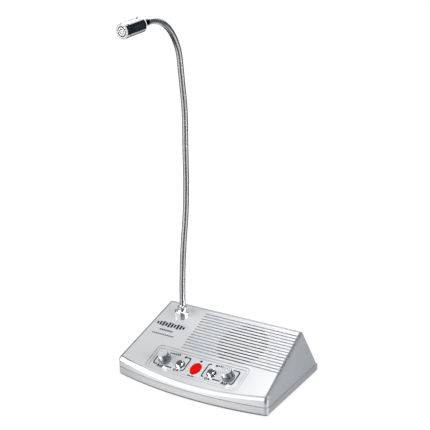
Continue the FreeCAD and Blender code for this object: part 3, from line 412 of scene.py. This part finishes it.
def turnedKnob(name, axisPoint):
    # metal with fine rings turned on its top, painted shade in the top's dips and rim, painted dark
    # reflections on its flanks, painted shade round its foot, and a darker dull skirt
    finish = Finish(name, IOR=knobLook["gloss"])
    colour = knobLook["colour"]
    along, radius = finish.around(axisPoint, panelOut)
    rings = (radius * (2 * math.pi / knobLook["ringPitch"])).sine()
    haze = finish.noise(finish.place, knobLook["grain"], 3)
    face = finish.mix(rings.ramp(*knobLook["rings"]), scaled(colour, knobLook["topShade"]),
                      scaled(colour, knobLook["topPale"]))
    # painted shade in the dips and at the rim of the top
    dip = radius.ramp(*knobLook["rim"])
    for ring in knobLook["dips"]:
        dip = dip.most(radius.band(*ring))
    face = finish.mix(dip * knobLook["dipDepth"], face, knobLook["dipShadeColour"])
    # painted dark reflections on the body's flanks, on fixed sides, and painted shade round the
    # foot
    flankAxis = panelAcross * knobLook["flankAcross"] + panelUp * knobLook["flankUp"]
    turn = finish.along(axisPoint, flankAxis) / radius.most(mm)
    back = (0.0 - turn).ramp(*knobLook["back"]) * knobLook["backDepth"]
    dark = turn.ramp(*knobLook["flank"]).most(back).most(
        along.band(*knobLook["foot"]) * knobLook["footDepth"])
    body = finish.mix(dark * knobLook["dark"], colour, knobLook["flankShadeColour"])
    top, skirt = along.ramp(*knobLook["top"]), along.drop(*knobLook["skirt"])
    body = finish.mix(skirt * knobLook["skirtDepth"], body, knobLook["skirtColour"])
    dull = top.most(skirt)
    rough = knobLook["roughness"] + haze * 0.05 + dull * knobLook["dullRoughness"]
    finish.drive("Base Color", finish.mix(top, body, face))
    finish.drive("Metallic", 1.0 - dull * knobLook["dull"])
    finish.drive("Roughness", rough)
    finish.bump(rings * top * 0.6 + haze * 0.05, knobLook["bump"], knobLook["bumpStrength"])
    return finish


capLook = {
    "colour": (0.86, 0.865, 0.875, 1), "slotShadeColour": (0.02, 0.025, 0.03, 1), "gloss": 1.5,
    "turned": (0.4, 0.8), "inside": (7.4 * mm, 7.7 * mm), "outside": (7.5 * mm, 7.8 * mm),
    "rings": (((6.7 * mm, 7.4 * mm, 0.1 * mm), 0.8), ((4.3 * mm, 5.7 * mm, 0.1 * mm), 1.0),
              ((2.0 * mm, 3.0 * mm, 0.1 * mm), 0.9)),
    "metallic": 0.35, "roughness": 0.30, "grain": 1400, "bump": 0.03 * mm, "bumpStrength": 0.5}


def slottedCap(name, axis, place):
    # pale metal across the axis, with painted shade in its ring slots and in rings at the slots'
    # radii, and brighter round its rim
    finish = Finish(name, IOR=capLook["gloss"])
    radius = finish.around(place, axis)[1]
    wall = abs(finish.facing("True Normal", axis)).drop(*capLook["turned"])
    # painted shade on the walls inside the slots and in rings at their radii
    dark = deepShade = wall * radius.drop(*capLook["inside"])
    for ring, amount in capLook["rings"]:
        dark = dark.most(radius.band(*ring) * amount)
    flank = wall * radius.ramp(*capLook["outside"])
    haze = finish.noise(finish.place, capLook["grain"], 3)
    finish.drive("Base Color", finish.mix(dark, capLook["colour"], capLook["slotShadeColour"]))
    finish.drive("Metallic", capLook["metallic"] - deepShade * 0.3 + flank * 0.65)
    finish.drive("Roughness", capLook["roughness"] + haze * 0.05 - flank * 0.22)
    finish.bump(haze * 0.05, capLook["bump"], capLook["bumpStrength"])
    return finish


seat = next(mount for mount in frame["record"]["mounts"] if mount["name"] == "windscreen_seat")
headAxis = Vector(seat["axis"]).normalized()
capLow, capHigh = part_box("mic_front_cap")

shellPaint = satinPaint("silver paint", paint["shell"])
trayPaint = satinPaint("tray paint", paint["tray"])
frontCap = slottedCap("front cap", headAxis, (capLow + capHigh) / 2)
knobFinish = {"left": turnedKnob("knob left", leftKnob),
              "right": turnedKnob("knob right", rightKnob)}
speakerCloth = wovenCloth("speaker cloth")
# metals: name, colour, roughness, scratches
chrome = polishedMetal("bright chrome", (0.86, 0.87, 0.885, 1), 0.09)
headChrome = polishedMetal("head chrome", (0.87, 0.875, 0.89, 1), 0.07)
collarChrome = polishedMetal("collar chrome", (0.80, 0.805, 0.82, 1), 0.28)
buttonChrome = polishedMetal("button chrome", (0.86, 0.87, 0.885, 1), 0.12, metallic=0.92)
# the gooseneck steel gets painted shade between its coils
neckSteel = polishedMetal("gooseneck steel", (0.72, 0.725, 0.74, 1), 0.145,
                          metallic=0.92, valley=0.3)
darkNickel = polishedMetal("dark nickel", (0.05, 0.055, 0.062, 1), 0.18)
zincSteel = polishedMetal("zinc steel", (0.60, 0.61, 0.63, 1), 0.34, 0.12)
bareAluminium = polishedMetal("bare aluminium", (0.74, 0.75, 0.77, 1), 0.38, 0.15)
# plastics and the like: name, colour, roughness, grain, depth of the grain
redGloss = plainPlastic("red button", (0.44, 0.0015, 0.001, 1), 0.5, 500, 0.01 * mm,
                        Specular_IOR_Level=0.02)
ledLens = plainPlastic("dark lens", (0.012, 0.006, 0.008, 1), 0.25, 600, 0.005 * mm,
                       Specular_IOR_Level=0.1)
printInk = plainPlastic("printed ink", (0.012, 0.013, 0.016, 1), 0.6, 3000, 0.005 * mm,
                        Specular_IOR_Level=0.1)
paleRim = plainPlastic("pale rim", (0.50, 0.58, 0.59, 1), 0.22, 900, 0.01 * mm)
rearCap = plainPlastic("rear cap", (0.74, 0.75, 0.765, 1), 0.3)
blackMoulding = plainPlastic("black moulding", (0.030, 0.031, 0.034, 1), 0.45)
rubberFoot = plainPlastic("black rubber", (0.022, 0.022, 0.023, 1), 0.78, 1800, 0.06 * mm)
foamBlack = plainPlastic("dark foam", (0.020, 0.022, 0.026, 1), 0.95, 2600, 0.2 * mm)
paperBlack = plainPlastic("paper cone", (0.030, 0.030, 0.032, 1), 0.85, 1200, 0.1 * mm)
boardGreen = plainPlastic("board", (0.02, 0.12, 0.05, 1), 0.35, 700)
ferriteGrey = plainPlastic("ferrite", (0.09, 0.09, 0.095, 1), 0.6, 900, 0.05 * mm)
print("finishes made:", len(bpy.data.materials))

finishOf = {
    "top_housing": shellPaint, "base_tray": trayPaint, "case_screws": zincSteel,
    "rubber_feet": rubberFoot, "control_board": boardGreen, "control_board_screws": zincSteel,
    "main_board": boardGreen, "main_board_screws": zincSteel, "capacitors": blackMoulding,
    "heat_sink": bareAluminium, "dc_inlet": blackMoulding, "outstation_socket": blackMoulding,
    "record_socket": blackMoulding, "socket_nuts": zincSteel, "speaker_screen": speakerCloth,
    "speaker_gasket": foamBlack, "speaker_frame": zincSteel, "speaker_cone": paperBlack,
    "speaker_magnet": ferriteGrey, "speaker_clips": zincSteel, "speaker_screws": zincSteel,
    "status_leds": ledLens, "power_switch": blackMoulding, "power_bezel": paleRim,
    "power_button": redGloss, "neck_collar": collarChrome, "neck_gland": collarChrome,
    "neck_stem": zincSteel, "neck_washer": zincSteel, "neck_nut": zincSteel, "neck_root": neckSteel,
    "neck_ferrule": darkNickel, "mic_rear_cap": rearCap, "mic_body": headChrome,
    "mic_liner": foamBlack, "mic_capsule": bareAluminium, "capsule_holder": rubberFoot,
    "mic_front_cap": frontCap}
for side in ("left", "right"):
    finishOf.update({"volume_pot_" + side: blackMoulding, "pot_shaft_" + side: zincSteel,
                     "volume_knob_" + side: knobFinish[side], "talk_switch_" + side: blackMoulding,
                     "button_ring_" + side: chrome, "talk_button_" + side: buttonChrome})
for index in range(1, 10):
    finishOf["neck_link_" + str(index)] = neckSteel
for name, node in frame["nodes"].items():
    dress(node, finishOf[name])
print("CAD nodes finished:", len(frame["nodes"]))

# gooseneck: ribbed tube in lengths curved through the joints
neck = {"radius": 3.3 * mm, "ribDepth": 0.07 * mm, "ribPitch": 37.6 / 24 * mm, "sides": 24,
        "ribsPerLink": 24, "ribsAtRoot": 22, "ribsAtHead": 12, "headBehindSeat": 36.85 * mm,
        "ribShape": (1, 0.2, 0, 0.2, 1), "curveSteps": 40, "smoothUnder": 50,
        "touching": 0.001 * mm}


def ribbedTube(count):
    # one rib is drawn as a ring, extruded along X, and repeated
    piece = clean(bpy.ops.mesh.primitive_circle_add, vertices=neck["sides"],
                  radius=neck["radius"] - neck["ribDepth"], rotation=(0, math.pi / 2, 0))
    settle(piece)
    edit(piece, "EDGE")
    radii = [neck["radius"] - neck["ribDepth"] * part for part in neck["ribShape"]]
    step = neck["ribPitch"] / (len(radii) - 1)
    for before, after in zip(radii, radii[1:]):
        bpy.ops.mesh.extrude_region_move(TRANSFORM_OT_translate={"value": (step, 0, 0)})
        bpy.ops.transform.resize(value=(1, after / before, after / before),
                                 center_override=(0, 0, 0))
    done()
    modify(piece, "ARRAY", count=count, use_relative_offset=False, use_constant_offset=True,
           constant_offset_displace=(neck["ribPitch"], 0, 0), use_merge_vertices=True,
           merge_threshold=neck["touching"])
    for end in (0, count * neck["ribPitch"]):
        edit(piece, "VERT", lambda vertex: abs(vertex.co.x - end) < neck["touching"])
        bpy.ops.mesh.edge_face_add()
        done()
    edit(piece)
    bpy.ops.mesh.normals_make_consistent(inside=False)
    bpy.ops.mesh.quads_convert_to_tris()
    done()
    valley = piece.data.attributes.new("valley", "FLOAT", "POINT")     # 1 between coils, 0 on them
    for vertex, entry in zip(piece.data.vertices, valley.data):
        depth = neck["radius"] - math.hypot(vertex.co.y, vertex.co.z)
        entry.value = 1.0 if depth > neck["ribDepth"] / 2 else 0.0
    return piece


def neckCurve(stations):
    # a Bezier curve through (place, heading, reach before, reach after), handles a third of the way
    curve = clean(bpy.ops.curve.primitive_bezier_curve_add)
    settle(curve)
    spline = curve.data.splines[0]
    spline.bezier_points.add(len(stations) - 2)
    spline.resolution_u = neck["curveSteps"]
    for point, (spot, heading, before, after) in zip(spline.bezier_points, stations):
        point.handle_left_type = point.handle_right_type = "FREE"
        point.co = spot
        point.handle_left = spot - heading * before / 3
        point.handle_right = spot + heading * after / 3
    return curve


# the neck's line runs through its joints in arcs, and each arc starts as the last one ended
pivots = [joint for joint in frame["joints"] if joint["name"].startswith("neck_")]
spots = [Vector(joint["pos_m"]) for joint in pivots]
spots.append(Vector(seat["pos_m"]) - headAxis * neck["headBehindSeat"])
half = neck["ribsPerLink"] / 2 * neck["ribPitch"]
rootReach = neck["ribsAtRoot"] * neck["ribPitch"] - half
headings = [Vector(upright)]
cuts = [(spots[0] - headings[0] * rootReach, headings[0])]     # where the lengths meet
for low, high in zip(spots, spots[1:]):
    chord, lean = (high - low).normalized(), headings[-1]
    headings.append((chord * 2 * lean.dot(chord) - lean).normalized())
    outward = lean - chord * lean.dot(chord)
    angle = 2 * math.acos(max(-1, min(1, lean.dot(chord))))
    rise = (high - low).length / 2 * math.tan(angle / 4)
    bulge = outward.normalized() * rise if outward.length > 1e-6 else outward
    cuts.append(((low + high) / 2 + bulge, chord))

counts = [neck["ribsAtRoot"]] + [neck["ribsPerLink"]] * (len(pivots) - 1) + [neck["ribsAtHead"]]
tubes = {count: ribbedTube(count) for count in sorted(set(counts))}
bodies = [pivots[0]["parent"]] + [joint["child"] for joint in pivots]
for index, (spot, heading) in enumerate(zip(spots, headings)):
    reach = half if index else rootReach
    bends = index < len(pivots)     # the last length is rigid with the head
    stations = [(*cuts[index], reach, reach), (spot, heading, reach, half)]
    if bends:
        stations.append((*cuts[index + 1], half, half))
    path = neckCurve(stations)
    length = copyOf(tubes[counts[index]], "gooseneck_" + str(index + 1))
    modify(length, "CURVE", object=path, deform_axis="POS_X")
    bpy.data.objects.remove(path)
    choose(length)
    bpy.ops.object.shade_smooth_by_angle(angle=math.radians(neck["smoothUnder"]))
    dress(length, neckSteel)
    if bends:
        bodies[index + 1]
        cuts[index + 1][0]
        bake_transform(length)
    else:
        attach(length, bodies[index])
    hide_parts("neck_link_" + str(index) if index else "neck_root")
for tube in tubes.values():
    bpy.data.objects.remove(tube)
print("gooseneck made in", len(spots), "lengths")

# print on the panel: x from the middle and up the slope from the knobs' row, in mm
ink = {"thick": 0.04, "recessFloor": -1.0, "panelFace": 0}
outlines = {"line": 1.5, "low": -8.7, "high": 11.0, "corner": 3.0, "cornerSteps": 6,
            "across": {"left": (-53.7, -12.3), "right": (9.8, 50.8)},
            "topGaps": ((-47.0, -18.7), (14.0, 41.3)),
            "bottomGaps": ((-47.5, -37.0), (-28.1, -17.0), (13.5, 25.0), (34.4, 46.0))}
outlineMiddle = (outlines["low"] + outlines["high"]) / 2
outlineHeight = outlines["high"] - outlines["low"]


def inkPlate(piece, name, out):
    # gives a flat drawing in mm its thickness and its place on the panel
    piece.name = name
    edit(piece)
    bpy.ops.mesh.extrude_region_move(TRANSFORM_OT_translate={"value": (0, 0, ink["thick"])})
    bpy.ops.mesh.select_all(action="SELECT")
    bpy.ops.mesh.normals_make_consistent(inside=False)
    done()
    settle(piece, panelPlace(out) @ Matrix.Scale(mm, 4))
    dress(piece, printInk)
    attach(piece, "console")


def flatBar(x, up, width, height):
    bar = clean(bpy.ops.mesh.primitive_plane_add, size=1, location=(x, up, 0))
    bar.scale = (width, height, 1)
    settle(bar)
    return bar


def flatRound(x, up, radius, sides=20):
    disc = clean(bpy.ops.mesh.primitive_circle_add, vertices=sides, radius=radius,
                 fill_type="NGON", location=(x, up, 0))
    settle(disc)
    return disc


def flatRing(x, up, radius, line):
    ring = flatRound(x, up, radius)
    edit(ring)
    bpy.ops.mesh.inset(thickness=line)
    bpy.ops.mesh.delete(type="FACE")
    done()
    return ring


def joined(pieces):
    choose(pieces[0])
    for piece in pieces:
        piece.select_set(True)
    bpy.ops.object.join()
    return pieces[0]


def inGap(face):
    gaps = outlines["topGaps" if face.center.y > outlineMiddle else "bottomGaps"]
    return any(low < face.center.x < high for low, high in gaps)


for side, (left, right) in outlines["across"].items():
    plate = flatBar((left + right) / 2, outlineMiddle, right - left, outlineHeight)
    edit(plate, "VERT")
    bpy.ops.mesh.bevel(offset=outlines["corner"], segments=outlines["cornerSteps"],
                       affect="VERTICES")
    bpy.ops.mesh.select_mode(type="FACE")
    bpy.ops.mesh.select_all(action="SELECT")
    bpy.ops.mesh.inset(thickness=outlines["line"])
    bpy.ops.mesh.delete(type="FACE")
    ends = [x for gap in outlines["topGaps"] + outlines["bottomGaps"] for x in gap]
    for x in [x for x in ends if left < x < right]:
        bpy.ops.mesh.select_all(action="SELECT")
        bpy.ops.mesh.bisect(plane_co=(x, 0, 0), plane_no=(1, 0, 0))
    done()
    edit(plate, "FACE", inGap)
    bpy.ops.mesh.delete(type="FACE")
    done()
    inkPlate(plate, "frame_print_" + side, ink["recessFloor"])

# signs under the controls, each drawn from its own spot: wedges are (x, up, radius),
# rings (x, up, radius, line) and bars (x, up, width, height)
signs = {
    "volume": {"at": ((-42.9, -9.2), (40.6, -9.2)), "wedges": ((-2.2, 0, 2.5),),
               "bars": ((0.9, -0.5, 1.5, 2.5), (3.0, 0, 1.6, 3.5))},
    "talk": {"at": ((-21.6, -9.2), (19.2, -9.2)), "rings": ((-1.8, 0, 1.7, 1.0),),
             "bars": ((1.9, -0.3, 2.9, 1.4), (1.9, 1.2, 1.2, 1.2))},
    "power": {"at": ((-1.0, -12.2),), "rings": ((-2.2, 0, 2.0, 1.3), (2.2, 0, 2.0, 1.3)),
              "bars": ((2.1, 1.2, 1.1, 2.0),)}}
makers = {"wedges": lambda x, up, radius: flatRound(x, up, radius, 3),
          "rings": flatRing, "bars": flatBar}
shapes = []
for sign in signs.values():
    for x, up in sign["at"]:
        for kind, make in makers.items():
            for aside, over, *size in sign.get(kind, ()):
                shapes.append(make(x + aside, up + over, *size))
# a scale of rising bars above each frame
scales = {"at": ((-40.5, 9.7), (23.2, 9.7)), "bars": 6, "step": 2.4, "width": 1.6,
          "shortest": 1.7, "rise": 0.25}
for x, up in scales["at"]:
    for number in range(scales["bars"]):
        across, height = scales["step"] * number, scales["shortest"] + scales["rise"] * number
        shapes.append(flatBar(x + across, up + height / 2, scales["width"], height))
inkPlate(joined(shapes), "control_marks", ink["recessFloor"])

# three rows left of the grooves: level bars, dots and dashes
levels = {"x": -64.0, "up": 46.6, "step": 3.9, "count": 10, "width": 2.6,
          "heights": (3.4, 5.6, 7.0, 5.2, 7.6, 6.4, 4.6, 7.2, 5.8, 3.6)}
dots = {"x": -65.0, "up": 38.0, "step": 2.6, "count": 7, "radius": 1.15, "sides": 12}
dashes = {"x": -65.3, "up": 31.4, "step": 2.5, "count": 12, "width": 1.8, "height": 1.5}


def placesIn(row):
    first = row["x"] - (row["count"] - 1) / 2 * row["step"]
    return [first + number * row["step"] for number in range(row["count"])]


shapes = [flatBar(x, levels["up"], levels["width"], height)
          for x, height in zip(placesIn(levels), levels["heights"])]
shapes += [flatRound(x, dots["up"], dots["radius"], dots["sides"]) for x in placesIn(dots)]
shapes += [flatBar(x, dashes["up"], dashes["width"], dashes["height"]) for x in placesIn(dashes)]
inkPlate(joined(shapes), "panel_marks", ink["panelFace"])
print("print made")

# the floor is white to the camera apart from the object's shadow, and clear to reflections
white = (1, 1, 1, 1)
ground = {"size": 8, "roughness": 0.9, "shadow": (0.16, 0.16, 0.16, 1), "patches": 3,
          "colours": ((0.64, 0.64, 0.65, 1), (0.68, 0.68, 0.69, 1)),
          "glow": 0.88, "farGlow": 0.14, "far": (0.2, 0.9)}
floor = clean(bpy.ops.mesh.primitive_plane_add, size=ground["size"])
floor.name = "floor"
floorLook = Finish("studio floor", Roughness=ground["roughness"])
patches = floorLook.noise(floorLook.place, ground["patches"])
floorLook.drive("Base Color", floorLook.mix(patches, *ground["colours"]))
far = floorLook.vector("LENGTH", floorLook.place).pick("Value").ramp(*ground["far"])
shining = ground["glow"] + far * ground["farGlow"]
glow = floorLook.node("ShaderNodeEmission", {}, {"Color": white, "Strength": shining})
dim = floorLook.node("ShaderNodeBsdfDiffuse", {}, {"Color": ground["shadow"]})
seen = floorLook.node("ShaderNodeAddShader", {}, {0: glow, 1: dim})
plain = Wire(floorLook, floorLook.shader.outputs[0])
clear = floorLook.node("ShaderNodeBsdfTransparent")
rays = floorLook.node("ShaderNodeLightPath")
lit = floorLook.node("ShaderNodeMixShader", {}, {0: rays.pick("Is Camera Ray"), 1: plain, 2: seen})
final = floorLook.node("ShaderNodeMixShader", {}, {0: rays.pick("Is Glossy Ray"), 1: lit, 2: clear})
floorLook.tree.links.new(final.socket, floorLook.findNode("OUTPUT_MATERIAL").inputs[0])
dress(floor, floorLook)

# the world is white to the camera, a dark room with white cards to reflections, and plain light to
# the rest; cards are (bearing, half width, lowest, highest, brightness), bearing 0 towards the
# camera and 90 to its right
view = {"place": (0.638152, -0.947576, 0.518101), "azimuth": 34.12, "elevation": 16.13,
        "roll": 0.06, "lens": 94.1, "sensor": 36, "nearest": 0.05}
room = {"dark": (0.014, 0.022, 0.030, 1), "fill": (0.235, 0.235, 0.235, 1), "soft": 4,
        "cards": ((58, 27, -45, 14, 0.9), (-61, 30, -45, 25, 0.9), (155, 30, 18, 58, 0.95),
                  (152, 34, -75, -35, 1.0))}
world = bpy.data.worlds.new("studio")
bpy.context.scene.world = world
world.use_nodes = True
sky = Graph(world.node_tree)
way = sky.node("ShaderNodeSeparateXYZ", {}, {0: sky.node("ShaderNodeTexCoord").pick("Generated")})
height = way.calc("ARCSINE", way.pick("Z")) * math.degrees(1)
compass = way.calc("ARCTAN2", way.pick("X"), way.pick("Y") * -1.0) * math.degrees(1)
shine, soft = None, room["soft"]
for middle, wide, low, high, bright in room["cards"]:
    aside = abs((compass - (view["azimuth"] + middle)).wrap(-180.0, 180.0))
    card = aside.drop(wide - soft, wide + soft) * height.band(low, high, soft) * bright
    shine = shine.most(card) if shine else card
rays = sky.node("ShaderNodeLightPath")
mirrors = rays.pick("Is Glossy Ray").most(rays.pick("Is Transmission Ray"))
unseen = sky.mix(mirrors, room["fill"], sky.mix(shine, room["dark"], white))
colour = sky.mix(rays.pick("Is Camera Ray"), unseen, white)
sky.tree.links.new(colour.socket, sky.findNode("BACKGROUND").inputs["Color"])

lamps = {"target": (0, -0.01, 0.04), "size": 0.45, "plain": (1, 1, 1), "cool": (0.93, 0.965, 1.0),
         "lights": {"key": ((-0.45, -0.98, 0.47), 4.3, "plain"),     # place, power and colour
                    "left": ((-0.92, -0.54, 0.47), 8.0, "plain"),
                    "right": ((1.07, -0.24, 0.47), 10.8, "cool"),
                    "back": ((-0.41, 0.57, 0.95), 1.9, "plain"),
                    "top": ((0.0, -0.05, 1.19), 7.8, "plain")}}
for name, (place, power, tone) in lamps["lights"].items():
    lamp = clean(bpy.ops.object.light_add, type="AREA", location=place)
    lamp.name = name + " light"
    lamp.data.size, lamp.data.energy, lamp.data.color = lamps["size"], power, lamps[tone]
    aim = Vector(lamps["target"]) - Vector(place)
    lamp.rotation_euler = aim.to_track_quat("-Z", "Y").to_euler()

camera = clean(bpy.ops.object.camera_add, location=view["place"])
camera.rotation_euler = (math.radians(90 - view["elevation"]), math.radians(view["roll"]),
                         math.radians(view["azimuth"]))
camera.data.lens, camera.data.sensor_width = view["lens"], view["sensor"]
camera.data.clip_start = view["nearest"]
bpy.context.scene.camera = camera
bpy.context.scene.view_settings.view_transform = "Standard"
print("stage, lights and camera made")
